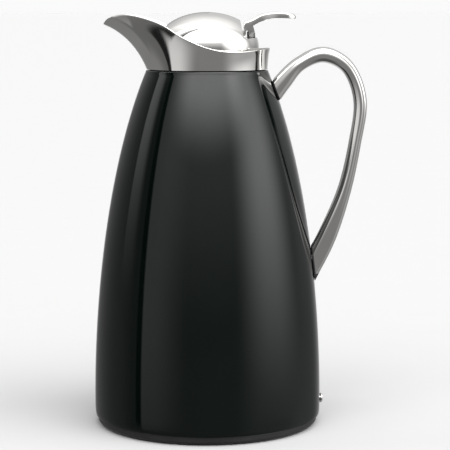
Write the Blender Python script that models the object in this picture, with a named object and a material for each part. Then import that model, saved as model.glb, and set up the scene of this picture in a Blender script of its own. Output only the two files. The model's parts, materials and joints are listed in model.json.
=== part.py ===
"""Thermal carafe with a thumb-lever lid, one named object for each piece.

Lengths are written in millimetres and scaled to metres where a mesh is made. The flask's
axis is +Z, z = 0 is the flat underside of the base cap, the handle is at +X and the spout
at -X.
"""

import math

import bmesh
import bpy
from mathutils import Matrix, Vector

MM = 0.001
GAP = 0.3

# Flat sides of a turned piece, by its size
WIDE_SEGMENTS = 40
SEGMENTS = 28
TINY_SEGMENTS = 12

# Shell
SHELL_WALL = 1.0
SHELL_BASE_Z = 4.4
SHELL_TOP_Z = 195.8
SHELL_WIDE = (63.0, 10.0)
SHELL_WIDE_REACH = 68.0
SHELL_SHOULDER = (33.75, 194.7)
SHELL_SHOULDER_REACH = 46.0
SHELL_SHOULDER_SLOPE = 0.417
SHOULDER_RADIUS = 1.1
NECK_HOLE_R = 29.7
SHELL_STEPS = 10

# Glass liner
LINER_GAP = 3.7
GLASS = 1.0
VACUUM = 2.6
LINER_BASE_Z = 13.0
LINER_CORNER = 18.0
LINER_SHOULDER_Z = 150.0
LINER_NECK_R = 26.6
LINER_NECK_Z = 165.0
LINER_TOP_Z = 172.4

# Neck sleeve and the thread of the lid
SLEEVE_R = 29.3
SLEEVE_BORE = 25.3
SLEEVE_BASE_Z = 174.0
SLEEVE_TOP_Z = 199.7
SLEEVE_FLANGE_R = 31.4
THREAD_LEAD = 24.0
THREAD_STARTS = 3
THREAD_TURNS = 0.42
THREAD_CREST = 1.1
THREAD_ROOT = 2.0
SLEEVE_THREAD_Z = 183.0
SLEEVE_THREAD_TIP = 23.2
STOPPER_THREAD_TIP = 24.9

# Collar with the spout
COLLAR_BASE_Z = 196.2
COLLAR_BASE_R = 33.2
COLLAR_WALL = 0.8
COLLAR_REAR_R = 34.6
SPOUT_TIP_R = 12.0
SPOUT_TIP_X = -56.8
RIM = ((34.6, 207.6), (16.0, 206.2), (2.0, 208.0), (-12.0, 213.6), (-24.0, 220.7),
       (-36.0, 224.7), (-46.0, 226.0), (-53.5, 224.0), (-56.8, 220.8))
COLLAR_BULGE = (0.32, 0.74)

# Lid
DOME_R = 28.5
DOME_BASE_Z = 205.2
DOME_MIDDLE_Z = 208.0
DOME_RISE = 19.2
DOME_WALL = 1.0
LEDGE_X = 20.0
LEDGE_Z = 213.2
STEP_LEAN = 0.2
INSERT_Z = 206.3
INSERT_THICK = 2.0
STOPPER_R = 22.8
STOPPER_WALL = 2.4
STOPPER_BASE_Z = 178.0
STOPPER_FLANGE_Z = 201.3
STOPPER_FLANGE_R = 27.6
PORT_TUBE_R = 19.5
PORT_TUBE_BORE = 15.5
POST_ANGLES = (60, 180, 300)

# Valve
SEAT_R = 11.0
SEAT_Z = 180.0
VALVE_R = 14.0
ROD_R = 1.8
ROD_TOP_Z = 218.2
VALVE_DISC_Z = 181.8
VALVE_DISC_TOP_Z = 184.3
SPRING_R = 5.2
SPRING_WIRE = 0.45
SPRING_TURNS = 5

# Lever
PIVOT = (24.6, 215.3)
PIN_R = 1.0
PIN_LENGTH = 8.6
LEVER_TIP_X = 48.5
STEM_HALF_WIDTH = 3.9
TAB_HALF_WIDTH = 7.4
ARM_HALF_WIDTH = 2.2
FORK_HALF_WIDTH = 4.8
FORK_R = 2.2
FORK_Z = 214.6

# Handle: centre line as (x, z, half thickness, half width)
HANDLE = ((33.5, 178.0, 5.0, 7.6), (41.6, 189.2, 4.9, 7.6), (51.0, 199.0, 4.0, 7.5),
          (64.3, 204.0, 4.3, 7.3), (77.6, 196.6, 3.8, 7.1), (84.2, 178.5, 3.7, 6.9),
          (81.5, 155.5, 3.5, 6.6), (75.9, 129.5, 3.9, 6.1), (66.6, 104.0, 5.3, 5.5),
          (56.6, 84.5, 5.8, 5.0), (49.0, 70.0, 5.8, 4.8))
HANDLE_BEVEL = 1.5
HANDLE_CROWN = 0.9
HANDLE_END_Z = 83.0
HANDLE_SEAT = 1.2
PAD_THICK = 0.6
PAD_LIP = 4.2
UPPER_SCREW_Z = 185.2
LOWER_SCREW_Z = 91.0
SCREW_R = 1.5

# Base
BASE_R = 61.5
SKIRT_TOP_Z = 18.0
SKIRT_R = 61.4
SKIRT_WALL = 2.2
NUB_COUNT = 12
NUB_RING_R = 56.5
BASE_SCREW_Z = 11.9
BASE_WASHER = (63.3, 63.65)
BASE_SCREW_FACE = 63.95
SCREW_HEAD_R = 2.4
SCREW_HEAD_EDGE = 0.25
SCREW_HEAD_RISE = 0.8

LOOKS = {}


def clear_scene():
    for obj in list(bpy.data.objects):
        bpy.data.objects.remove(obj, do_unlink=True)


def material(name, colour, roughness, metallic):
    made = bpy.data.materials.new(name)
    made.use_nodes = True
    shader = made.node_tree.nodes["Principled BSDF"]
    shader.inputs["Base Color"].default_value = (*colour, 1.0)
    shader.inputs["Roughness"].default_value = roughness
    shader.inputs["Metallic"].default_value = metallic
    return made


def finish(name, mesh, look, origin=(0.0, 0.0, 0.0)):
    """Closes a bmesh in millimetres into an object in metres, with its origin at a point."""
    bmesh.ops.remove_doubles(mesh, verts=mesh.verts, dist=1e-4)
    bmesh.ops.recalc_face_normals(mesh, faces=mesh.faces)
    bmesh.ops.translate(mesh, verts=mesh.verts, vec=-Vector(origin))
    bmesh.ops.scale(mesh, verts=mesh.verts, vec=(MM, MM, MM))
    data = bpy.data.meshes.new(name)
    mesh.to_mesh(data)
    mesh.free()
    data.shade_smooth()
    data.set_sharp_from_angle(angle=math.radians(35))
    data.materials.append(LOOKS[look])
    obj = bpy.data.objects.new(name, data)
    obj.location = Vector(origin) * MM
    bpy.context.scene.collection.objects.link(obj)
    return obj


def lathe(name, profile, segments, look, closed=True):
    """Turns (radius, z) points about +Z. An open profile starts and ends on the axis."""
    mesh = bmesh.new()
    points = [mesh.verts.new((r, 0.0, z)) for r, z in profile]
    pairs = list(zip(points, points[1:]))
    if closed:
        pairs.append((points[-1], points[0]))
    edges = [mesh.edges.new(pair) for pair in pairs]
    bmesh.ops.spin(mesh, geom=points + edges, cent=(0, 0, 0), axis=(0, 0, 1),
                   angle=math.tau, steps=segments, use_merge=True)
    return finish(name, mesh, look)


def ring(name, inner, outer, low, high, segments, look):
    return lathe(name, [(outer, high), (outer, low), (inner, low), (inner, high)], segments, look)


def rod(name, start, end, radius, segments, look, origin=(0.0, 0.0, 0.0)):
    """A round bar between two points."""
    start, end = Vector(start), Vector(end)
    mesh = bmesh.new()
    turn = (end - start).to_track_quat("Z", "Y").to_matrix().to_4x4()
    bmesh.ops.create_cone(mesh, cap_ends=True, segments=segments, radius1=radius, radius2=radius,
                          depth=(end - start).length,
                          matrix=Matrix.Translation((start + end) / 2) @ turn)
    return finish(name, mesh, look, origin)


def block(name, low, high, look="hidden"):
    mesh = bmesh.new()
    size = Vector(high) - Vector(low)
    middle = (Vector(high) + Vector(low)) / 2
    bmesh.ops.create_cube(mesh, size=1.0, matrix=Matrix.Translation(middle) @ Matrix.Diagonal((*size, 1)))
    return finish(name, mesh, look)


def plate(name, outline, low, high, across, look, origin=(0.0, 0.0, 0.0)):
    """Extrudes an outline: across "Y" reads it as (x, z), across "Z" as (x, y)."""
    def place(a, b, depth):
        return (a, depth, b) if across == "Y" else (a, b, depth)
    mesh = bmesh.new()
    base = [mesh.verts.new(place(a, b, low)) for a, b in outline]
    face = mesh.faces.new(base)
    made = bmesh.ops.extrude_face_region(mesh, geom=[face])
    moved = [item for item in made["geom"] if isinstance(item, bmesh.types.BMVert)]
    bmesh.ops.translate(mesh, verts=moved, vec=place(0.0, 0.0, high - low))
    return finish(name, mesh, look, origin)


def sweep(name, stations, look, closed_ends=True):
    """Joins rings of points, each a list of 3-D positions, into one tube with end caps."""
    mesh = bmesh.new()
    rings = [[mesh.verts.new(point) for point in station] for station in stations]
    for first, second in zip(rings, rings[1:]):
        count = len(first)
        for i in range(count):
            j = (i + 1) % count
            mesh.faces.new((first[i], first[j], second[j], second[i]))
    if closed_ends:
        mesh.faces.new(rings[0])
        mesh.faces.new(rings[-1][::-1])
    return finish(name, mesh, look)


def boolean(target, tool, operation):
    tool.hide_render = True
    tool.display_type = "WIRE"
    modifier = target.modifiers.new(tool.name, "BOOLEAN")
    modifier.operation = operation
    modifier.object = tool
    modifier.solver = "EXACT"


def cut(target, *tools):
    for tool in tools:
        boolean(target, tool, "DIFFERENCE")


def join(target, *tools):
    for tool in tools:
        boolean(target, tool, "UNION")


def arc(centre, radius, start, end, steps):
    """Points on an arc, angles in degrees."""
    angles = [math.radians(start + (end - start) * i / steps) for i in range(steps + 1)]
    return [(centre[0] + radius * math.cos(a), centre[1] + radius * math.sin(a)) for a in angles]


def bezier(p0, p1, p2, p3, steps):
    points = []
    for i in range(steps + 1):
        t = i / steps
        s = 1.0 - t
        points.append(tuple(s * s * s * a + 3 * s * s * t * b + 3 * s * t * t * c + t * t * t * d
                            for a, b, c, d in zip(p0, p1, p2, p3)))
    return points


def smooth(anchors, steps):
    """A Catmull-Rom curve through the anchors, with this many steps between two of them."""
    padded = [anchors[0], *anchors, anchors[-1]]
    points = []
    for before, start, end, after in zip(padded, padded[1:], padded[2:], padded[3:]):
        for i in range(steps):
            t = i / steps
            points.append(tuple(
                0.5 * (2 * b + (c - a) * t + (2 * a - 5 * b + 4 * c - d) * t * t
                       + (3 * b - a - 3 * c + d) * t * t * t)
                for a, b, c, d in zip(before, start, end, after)))
    points.append(tuple(anchors[-1]))
    return points


def shell_curve(steps):
    """The outer wall of the shell from its widest ring to the shoulder."""
    low = SHELL_WIDE
    high = SHELL_SHOULDER
    low_pull = (low[0], low[1] + SHELL_WIDE_REACH)
    high_pull = (high[0] + SHELL_SHOULDER_SLOPE * SHELL_SHOULDER_REACH, high[1] - SHELL_SHOULDER_REACH)
    return bezier(low, low_pull, high_pull, high, steps)


def shell_radius(z):
    curve = [(SHELL_WIDE[0] - 0.3, SHELL_BASE_Z)] + shell_curve(60)
    for (r0, z0), (r1, z1) in zip(curve, curve[1:]):
        if z <= z1:
            return r0 + (r1 - r0) * (z - z0) / (z1 - z0)
    return curve[-1][0]


def shell_normal(z):
    """The point on the shell at +X at this height, and the outward direction there."""
    slope = (shell_radius(z + 1.0) - shell_radius(z - 1.0)) / 2.0
    return Vector((shell_radius(z), 0.0, z)), Vector((1.0, 0.0, -slope)).normalized()


def envelope(name, margin):
    """A solid of the shell's outside, grown by a margin."""
    wall = [(r + margin, z) for r, z in shell_curve(SHELL_STEPS)]
    profile = [(0.0, -5.0), (SHELL_WIDE[0] + margin, -5.0), *wall, (0.0, SHELL_SHOULDER[1])]
    return lathe(name, profile, WIDE_SEGMENTS, "hidden", closed=False)


def make_shell():
    outer = [(SHELL_WIDE[0] - 0.3, SHELL_BASE_Z), *shell_curve(SHELL_STEPS)]
    corner = (SHELL_SHOULDER[0] - SHOULDER_RADIUS, SHELL_TOP_Z - SHOULDER_RADIUS)
    outer += arc(corner, SHOULDER_RADIUS, 30, 90, 2)
    inner = [(NECK_HOLE_R, SHELL_TOP_Z), (NECK_HOLE_R, SHELL_TOP_Z - SHELL_WALL)]
    inner += [(r - SHELL_WALL, z) for r, z in reversed(outer[:-3])]
    shell = lathe("outer_shell", outer + inner, WIDE_SEGMENTS, "dark_lacquer")
    for z in (UPPER_SCREW_Z, LOWER_SCREW_Z):
        point, normal = shell_normal(z)
        cut(shell, rod(f"shell_hole_{int(z)}", point - 5 * normal, point + 5 * normal,
                       SCREW_R + GAP, TINY_SEGMENTS, "hidden"))
    cut(shell, rod("shell_base_hole", (58, 0, BASE_SCREW_Z), (68, 0, BASE_SCREW_Z),
                   SCREW_R + GAP, TINY_SEGMENTS, "hidden"))


def liner_wall(inset):
    """One surface of the liner, at a distance inside the outer glass face, bottom centre to rim."""
    def side(z):
        return shell_radius(z) - SHELL_WALL - LINER_GAP - inset
    base = LINER_BASE_Z + inset
    corner = LINER_CORNER - inset / 2
    turn = arc((side(base + corner) - corner, base + corner), corner, -90, 0, 3)
    walls = [(side(z), z) for z in (65.0, 95.0, 120.0, LINER_SHOULDER_Z)]
    top = (LINER_NECK_R - inset, LINER_NECK_Z)
    start = (side(LINER_SHOULDER_Z), LINER_SHOULDER_Z - inset)
    neck = bezier(start, (start[0] - 4.4, start[1] + 11.0), (top[0], top[1] - 7.0), top, 3)
    walls[-1] = start
    return [(0.0, base), *turn, *walls, *neck[1:], (top[0], LINER_TOP_Z)]


def make_liner():
    outer = liner_wall(0.0)
    inner = liner_wall(GLASS)
    body = lathe("liner_outer_glass", [*outer, *reversed(inner)], SEGMENTS, "silvered_glass", closed=False)
    tip = lathe("sealing_tip", [(0.0, 6.2), *arc((1.3, 7.0), 1.0, -90, 0, 2), (2.3, LINER_BASE_Z + 0.5),
                                (0.0, LINER_BASE_Z + 0.5)], 12, "hidden", closed=False)
    join(body, tip)
    outer = liner_wall(GLASS + VACUUM)
    inner = liner_wall(2 * GLASS + VACUUM)
    lathe("liner_inner_glass", [*outer, *reversed(inner)], SEGMENTS, "silvered_glass", closed=False)
    ring("liner_rim_seal", LINER_NECK_R - GLASS - VACUUM + GAP, LINER_NECK_R - GLASS - GAP,
         LINER_TOP_Z - 2.5, LINER_TOP_Z, SEGMENTS, "silvered_glass")
    ring("neck_gasket", LINER_NECK_R - 4.4, LINER_NECK_R + 2.0, LINER_TOP_Z + GAP,
         SLEEVE_BASE_Z - GAP, SEGMENTS, "silicone")
    cushion = [(34.0, 9.8), (34.0, 12.7), (10.0, 12.7), (10.0, 9.8)]
    lathe("liner_cushion", cushion[::-1], SEGMENTS, "rubber")
    cradle = [(8.0, 3.1), (20.0, 3.1), (20.0, 6.0), (34.0, 6.0), (36.5, 11.5), (35.0, 11.5),
              (34.4, 9.5), (8.0, 9.5)]
    lathe("liner_cradle", cradle, SEGMENTS, "black_plastic")


def thread_ridges(label, root, tip, start_z):
    """The ridges of a multi-start thread, each a trapezoid swept along its helix."""
    made = []
    half_root = THREAD_ROOT / 2
    half_tip = THREAD_CREST / 2
    section = ((root, -half_root), (tip, -half_tip), (tip, half_tip), (root, half_root))
    steps = 8
    for index in range(THREAD_STARTS):
        stations = []
        for step in range(steps + 1):
            turn = THREAD_TURNS * step / steps
            angle = math.tau * (turn + index / THREAD_STARTS)
            z = start_z + THREAD_LEAD * turn
            stations.append([(r * math.cos(angle), r * math.sin(angle), z + dz) for r, dz in section])
        made.append(sweep(f"{label}_{index}", stations, "hidden"))
    return made


def make_neck():
    profile = [(SLEEVE_R, SLEEVE_BASE_Z), (SLEEVE_R, SLEEVE_TOP_Z - 1.2),
               (SLEEVE_FLANGE_R, SLEEVE_TOP_Z - 1.2), (SLEEVE_FLANGE_R, SLEEVE_TOP_Z),
               (SLEEVE_BORE, SLEEVE_TOP_Z), (SLEEVE_BORE, SLEEVE_BASE_Z)]
    sleeve = lathe("neck_sleeve", profile, SEGMENTS, "black_plastic")
    join(sleeve, *thread_ridges("sleeve_thread", SLEEVE_BORE + 0.8, SLEEVE_THREAD_TIP,
                                SLEEVE_THREAD_Z))
    ring("neck_nut", SLEEVE_R + GAP, 31.8, 190.6, SHELL_TOP_Z - SHELL_WALL - GAP, SEGMENTS, "black_plastic")
    ring("collar_seal", NECK_HOLE_R, 31.9, SHELL_TOP_Z + GAP, COLLAR_BASE_Z + 0.9, SEGMENTS, "rubber")


def rim_height(x):
    curve = smooth(RIM, 8)
    for (x0, z0), (x1, z1) in zip(curve, curve[1:]):
        if x >= x1:
            return z0 + (z1 - z0) * (x - x0) / (x1 - x0)
    return curve[-1][1]


def collar_stations():
    """Pairs of (angle on the base circle, plan point of the rim, plan normal of the rim)."""
    centre = SPOUT_TIP_X + SPOUT_TIP_R
    lean = math.asin((COLLAR_REAR_R - SPOUT_TIP_R) / -centre)
    tangent = math.pi / 2 + lean
    rear_steps, line_steps, tip_steps = 13, 5, 5
    half = []
    for i in range(rear_steps):
        angle = tangent * i / rear_steps
        half.append((angle, angle, 0.0))
    for i in range(line_steps):
        half.append((None, tangent, i / line_steps))
    for i in range(tip_steps + 1):
        half.append((None, tangent + (math.pi - tangent) * i / tip_steps, 1.0))
    stations = []
    spout_count = line_steps + tip_steps
    for index, (base, face, along) in enumerate(half):
        if base is None:
            base = tangent + (math.pi - tangent) * (index - rear_steps) / spout_count
        normal = Vector((math.cos(face), math.sin(face)))
        rear = normal * COLLAR_REAR_R
        tip = Vector((centre, 0.0)) + normal * SPOUT_TIP_R
        stations.append((base, rear.lerp(tip, along), normal))
    mirrored = [(-a, Vector((p.x, -p.y)), Vector((n.x, -n.y))) for a, p, n in stations[1:-1]]
    return stations + mirrored[::-1]


def make_collar():
    rows = 5
    stations = []
    for angle, rim, normal in collar_stations():
        out = Vector((math.cos(angle), math.sin(angle)))
        height = rim_height(max(SPOUT_TIP_X, min(COLLAR_REAR_R, rim.x)))

        def wall(radius, base_z, inset):
            foot = out * radius
            top = rim - normal * inset
            pull = foot + (top - foot) * COLLAR_BULGE[0]
            pull_z = base_z + (height - base_z) * COLLAR_BULGE[1]
            points = []
            for i in range(rows + 1):
                t = i / rows
                xy = foot * (1 - t) ** 2 + pull * 2 * t * (1 - t) + top * t * t
                z = base_z * (1 - t) ** 2 + pull_z * 2 * t * (1 - t) + height * t * t
                points.append((xy.x, xy.y, z))
            return points

        flange = [(32.2, COLLAR_BASE_Z), (32.2, COLLAR_BASE_Z + 1.2), (NECK_HOLE_R, COLLAR_BASE_Z + 1.2),
                  (NECK_HOLE_R, COLLAR_BASE_Z + 2.0)]
        section = [(*(out * r), z) for r, z in reversed(flange)]
        section += wall(COLLAR_BASE_R, COLLAR_BASE_Z, 0.0)
        section += reversed(wall(COLLAR_BASE_R - 0.9, COLLAR_BASE_Z + 2.0, COLLAR_WALL))
        stations.append(section)
    sweep("pour_collar", [*stations, stations[0]], "chrome", closed_ends=False)


def handle_sections(first, last, trim=0.0):
    """Chamfered sections with crowned faces along the handle's centre line, between two anchors."""
    steps = 4
    line = smooth(HANDLE, steps)
    made = []
    for index in range(first * steps, last * steps + 1):
        x, z, thick, wide = line[index]
        thick -= trim
        wide -= trim
        before = Vector(line[max(index - 1, 0)][:2])
        after = Vector(line[min(index + 1, len(line) - 1)][:2])
        along = (after - before).normalized()
        outward = Vector((-along.y, along.x))
        face = thick - HANDLE_CROWN
        side = face - HANDLE_BEVEL
        edge = wide - HANDLE_BEVEL
        section = ((face, -edge), (thick, 0.0), (face, edge), (side, wide), (-side, wide),
                   (-face, edge), (-thick, 0.0), (-face, -edge), (-side, -wide), (side, -wide))
        made.append([(x + outward.x * a, b, z + outward.y * a) for a, b in section])
    return made


def make_handle():
    last = len(HANDLE) - 1
    handle = sweep("handle", handle_sections(0, last), "chrome")
    near = envelope("handle_seat", HANDLE_SEAT)
    pad_seat = envelope("pad_seat", GAP)
    cut(handle, near, block("handle_end", (30, -20, 40), (90, 20, HANDLE_END_Z)))
    pads = (("handle_upper_pad", sweep("handle_upper_pad", handle_sections(0, 2, 0.3), "rubber"), 150.0),
            ("handle_lower_pad", sweep("handle_lower_pad", handle_sections(last - 3, last, 0.4), "rubber"),
             HANDLE_END_Z - GAP))
    for name, pad, low in pads:
        above = block(f"{name}_space", (20, -20, low), (100, 20, 220))
        cut(above, envelope(f"{name}_layer", GAP + PAD_THICK))
        cut(pad, pad_seat, above)
    cut(pads[1][1], block("pad_tail_end", (30, -20, 40), (90, 20, HANDLE_END_Z - PAD_LIP)))
    for label, z, pad in (("upper", UPPER_SCREW_Z, pads[0][1]), ("lower", LOWER_SCREW_Z, pads[1][1])):
        point, normal = shell_normal(z)
        hole = rod(f"handle_{label}_hole", point - 3 * normal, point + 5.6 * normal, SCREW_R + GAP,
                   TINY_SEGMENTS, "hidden")
        cut(handle, hole)
        cut(pad, hole)
        inside = point - (SHELL_WALL + 0.5) * normal
        washer = rod(f"handle_{label}_washer", inside - 0.6 * normal, inside, 2.9, 16, "steel")
        cut(washer, rod(f"handle_{label}_washer_hole", inside - 2 * normal, inside + normal,
                        SCREW_R + GAP, TINY_SEGMENTS, "hidden"))
        seat = inside - 0.9 * normal
        screw = rod(f"handle_{label}_screw", seat - 1.4 * normal, seat, 2.5, 16, "steel")
        join(screw, rod(f"handle_{label}_shank", seat - 0.5 * normal, point + 5.2 * normal, SCREW_R,
                        TINY_SEGMENTS, "hidden"))


def make_base():
    profile = [(0.0, 0.0), (54.0, 0.0), (54.0, 1.8), (59.0, 1.8), (59.0, 0.3), (60.2, 0.3),
               (61.2, 1.4), (BASE_R, 4.0), (SKIRT_R, 4.4), (SKIRT_R, SKIRT_TOP_Z),
               (SKIRT_R - SKIRT_WALL, SKIRT_TOP_Z), (SKIRT_R - SKIRT_WALL, 2.8), (0.0, 2.8)]
    cap = lathe("base_cap", profile, WIDE_SEGMENTS, "black_plastic", closed=False)
    cut(cap, rod("insert_hole", (57, 0, BASE_SCREW_Z), (70, 0, BASE_SCREW_Z), 2.5, 16, "hidden"))
    insert = rod("base_screw_insert", (59.4, 0, BASE_SCREW_Z), (61.3, 0, BASE_SCREW_Z), 2.2, 16, "brass")
    cut(insert, rod("insert_bore", (55, 0, BASE_SCREW_Z), (70, 0, BASE_SCREW_Z), SCREW_R + 0.1,
                    TINY_SEGMENTS, "hidden"))
    washer = rod("base_screw_washer", (BASE_WASHER[0], 0, BASE_SCREW_Z), (BASE_WASHER[1], 0, BASE_SCREW_Z),
                 2.7, 16, "rubber")
    cut(washer, rod("washer_bore", (60, 0, BASE_SCREW_Z), (70, 0, BASE_SCREW_Z), SCREW_R + GAP,
                    TINY_SEGMENTS, "hidden"))
    shank = SCREW_R - 0.1
    depth = 5.25
    cap_rise = SCREW_HEAD_RISE - SCREW_HEAD_EDGE
    dome = [(SCREW_HEAD_R * math.cos(a), SCREW_HEAD_EDGE + cap_rise * math.sin(a))
            for a in (math.pi / 2 * i / 4 for i in range(5))]
    screw = lathe("base_screw", [(0.0, -depth), (shank, -depth), (shank, 0.0), (SCREW_HEAD_R, 0.0), *dome],
                  16, "chrome", closed=False)
    screw.rotation_euler = (0.0, math.radians(90), 0.0)
    screw.location = (BASE_SCREW_FACE * MM, 0.0, BASE_SCREW_Z * MM)
    feet = ring("foot_ring", 54.3, 58.7, 0.3, 1.5, WIDE_SEGMENTS, "rubber")
    for index in range(NUB_COUNT):
        angle = math.tau * (index + 0.5) / NUB_COUNT
        x, y = NUB_RING_R * math.cos(angle), NUB_RING_R * math.sin(angle)
        join(feet, rod(f"nub_{index}", (x, y, -0.6), (x, y, 0.9), 1.6, 8, "hidden"))


def dome_curve(inset, steps):
    rise = DOME_RISE - inset
    radius = DOME_R - inset
    return [(radius * math.cos(a), DOME_MIDDLE_Z + rise * math.sin(a))
            for a in (math.pi / 2 * i / steps for i in range(steps + 1))]


def dome_step(name, inset):
    """The space behind the dome's step: a level ledge and a wall that leans forward."""
    foot = (LEDGE_X - inset, LEDGE_Z - inset)
    top = 240.0
    outline = [foot, (60.0, foot[1]), (60.0, top), (foot[0] - STEP_LEAN * (top - foot[1]), top)]
    return plate(name, outline, -40.0, 40.0, "Y", "hidden")


def make_dome():
    outer = [(0.0, DOME_BASE_Z), (DOME_R, DOME_BASE_Z), *dome_curve(0.0, 7)]
    dome = lathe("lid_dome", outer, SEGMENTS, "chrome", closed=False)
    hollow = lathe("dome_hollow", [(0.0, 200.0), (DOME_R - DOME_WALL, 200.0), *dome_curve(DOME_WALL, 7)],
                   SEGMENTS, "hidden", closed=False)
    cut(hollow, dome_step("dome_step_inside", DOME_WALL))
    cut(dome, dome_step("dome_step", 0.0), hollow,
        block("dome_slot", (16.0, -2.6, LEDGE_Z + 0.4), (21.0, 2.6, LEDGE_Z + 5.6)),
        block("ledge_slot", (21.5, -2.1, 208.0), (26.9, 2.1, 218.0)))


def make_stopper():
    top = INSERT_Z - GAP
    profile = [(STOPPER_R, STOPPER_BASE_Z), (STOPPER_R, STOPPER_FLANGE_Z),
               (STOPPER_FLANGE_R, STOPPER_FLANGE_Z), (STOPPER_FLANGE_R, STOPPER_FLANGE_Z + 1.0),
               (PORT_TUBE_R, STOPPER_FLANGE_Z + 1.0), (PORT_TUBE_R, top), (PORT_TUBE_BORE, top),
               (PORT_TUBE_BORE, STOPPER_FLANGE_Z), (STOPPER_R - STOPPER_WALL, STOPPER_FLANGE_Z - 3.0),
               (STOPPER_R - STOPPER_WALL, SEAT_Z), (SEAT_R, SEAT_Z), (SEAT_R, STOPPER_BASE_Z)]
    stopper = lathe("stopper_body", profile, SEGMENTS, "black_plastic")
    pitch_gap = (THREAD_ROOT + THREAD_CREST) / 2 + 0.35
    join(stopper, *thread_ridges("stopper_thread", STOPPER_R - 0.8, STOPPER_THREAD_TIP,
                                 SLEEVE_THREAD_Z - pitch_gap))
    for index, angle in enumerate(POST_ANGLES):
        port = block(f"port_{index}", (10.0, -8.5, STOPPER_FLANGE_Z + 1.3), (24.0, 8.5, top - 1.0))
        port.rotation_euler = (0.0, 0.0, math.radians(angle + 60))
        cut(stopper, port)
    ring("stopper_gasket", STOPPER_R + GAP, 28.0, SLEEVE_TOP_Z + GAP, STOPPER_FLANGE_Z - GAP, SEGMENTS,
         "silicone")
    return stopper


def make_lid():
    stopper = make_stopper()
    high = INSERT_Z + INSERT_THICK
    plate_r = DOME_R - DOME_WALL - GAP
    profile = [(ROD_R + 0.4, INSERT_Z), (plate_r, INSERT_Z), (plate_r, high),
               (5.0, high), (5.0, 211.4), (ROD_R + 0.4, 211.4)]
    insert = lathe("lid_insert", profile, SEGMENTS, "black_plastic")
    for index, angle in enumerate(POST_ANGLES):
        x = 17.5 * math.cos(math.radians(angle))
        y = 17.5 * math.sin(math.radians(angle))
        hole = rod(f"lid_screw_hole_{index}", (x, y, 202.5), (x, y, 212.0), 1.4, 10, "hidden")
        cut(insert, hole)
        cut(stopper, hole)
        screw = rod(f"lid_screw_{index + 1}", (x, y, high + GAP), (x, y, high + 1.8), 2.1, 12, "steel")
        join(screw, rod(f"lid_screw_shank_{index}", (x, y, 203.0), (x, y, high + 1.0), 1.1, 10, "hidden"))
    foot = high + GAP
    outline = [(21.9, foot), (26.4, foot), (26.4, PIVOT[1]), *arc(PIVOT, 1.8, 0, 90, 4), (22.7, 217.1),
               (21.9, 216.3)]
    bracket = plate("lever_bracket", outline, -1.8, 1.8, "Y", "black_plastic")
    join(bracket, block("bracket_foot", (20.6, -6.5, foot), (26.0, 6.5, foot + 1.6)))
    cut(bracket, rod("bracket_bore", (PIVOT[0], -5, PIVOT[1]), (PIVOT[0], 5, PIVOT[1]), PIN_R + 0.08, 16,
                     "hidden"))
    for index, side in enumerate((-1, 1)):
        y = 4.4 * side
        hole = rod(f"bracket_screw_hole_{index}", (23.4, y, foot - 3.2), (23.4, y, foot + 4.0), 1.1, 10,
                   "hidden")
        cut(bracket, hole)
        cut(insert, hole)
        screw = rod(f"bracket_screw_{index + 1}", (23.4, y, foot + 1.9), (23.4, y, foot + 2.8), 1.5, 10,
                    "steel")
        join(screw, rod(f"bracket_shank_{index}", (23.4, y, INSERT_Z - 0.2), (23.4, y, foot + 2.2), 0.8, 8,
                        "hidden"))


def make_lever():
    origin = (PIVOT[0], 0.0, PIVOT[1])
    top = smooth(((20.1, 221.9), (24.9, 223.6), (30.4, 226.3), (38.0, 227.4), (44.6, 226.9),
                  (LEVER_TIP_X, 225.4)), 3)
    under = smooth(((LEVER_TIP_X, 223.5), (38.0, 223.9), (30.4, 222.3), (25.1, 219.6)), 3)
    boss = arc(PIVOT, 1.75, 10, -190, 8)
    window = [(22.7, 216.6), (22.4, 217.1), (21.6, 217.1), (21.3, 216.4), (21.2, 214.2)]
    outline = [*top, *under, *boss, *window, (16.0, 214.2), (16.0, 216.2), (20.3, 217.3)]
    lever = plate("thumb_lever", outline, -TAB_HALF_WIDTH, TAB_HALF_WIDTH, "Y", "chrome", origin)
    tab = TAB_HALF_WIDTH
    stem = STEM_HALF_WIDTH
    side = [(15.0, ARM_HALF_WIDTH), (20.0, ARM_HALF_WIDTH), (20.2, stem), (27.0, stem), (31.0, 4.8),
            (36.0, 6.6), (42.0, tab)]
    tip = arc((LEVER_TIP_X - tab + 1.2, 0.0), tab, 75, -75, 8)
    tip = [(min(x, LEVER_TIP_X - 0.05), y) for x, y in tip]
    plan = [*side, *tip, *[(x, -y) for x, y in reversed(side)]]
    boolean(lever, plate("lever_plan", plan, 205.0, 235.0, "Z", "hidden"), "INTERSECT")
    arm = [(16.6, 214.2), (16.6, 216.2), (FORK_R, 216.2), *arc((0.0, FORK_Z), FORK_R, 40, 320, 10),
           (FORK_R, 213.6), (9.0, 213.6), (12.0, 214.2)]
    fork = plate("lever_fork", arm, -FORK_HALF_WIDTH, FORK_HALF_WIDTH, "Y", "hidden")
    cut(fork, block("fork_gap", (-6.0, -ROD_R - 0.6, 205.0), (5.0, ROD_R + 0.6, 225.0)),
        block("fork_left", (10.0, ARM_HALF_WIDTH, 205.0), (20.0, 9.0, 225.0)),
        block("fork_right", (10.0, -9.0, 205.0), (20.0, -ARM_HALF_WIDTH, 225.0)))
    join(lever, fork)
    cut(lever, block("stem_slot", (21.25, -2.1, 205.0), (30.0, 2.1, 218.8)),
        rod("lever_bore", (PIVOT[0], -9, PIVOT[1]), (PIVOT[0], 9, PIVOT[1]), PIN_R + 0.08, 16, "hidden"))
    rod("lever_pin", (PIVOT[0], -PIN_LENGTH / 2, PIVOT[1]), (PIVOT[0], PIN_LENGTH / 2, PIVOT[1]), PIN_R, 16,
        "steel", origin)


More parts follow.
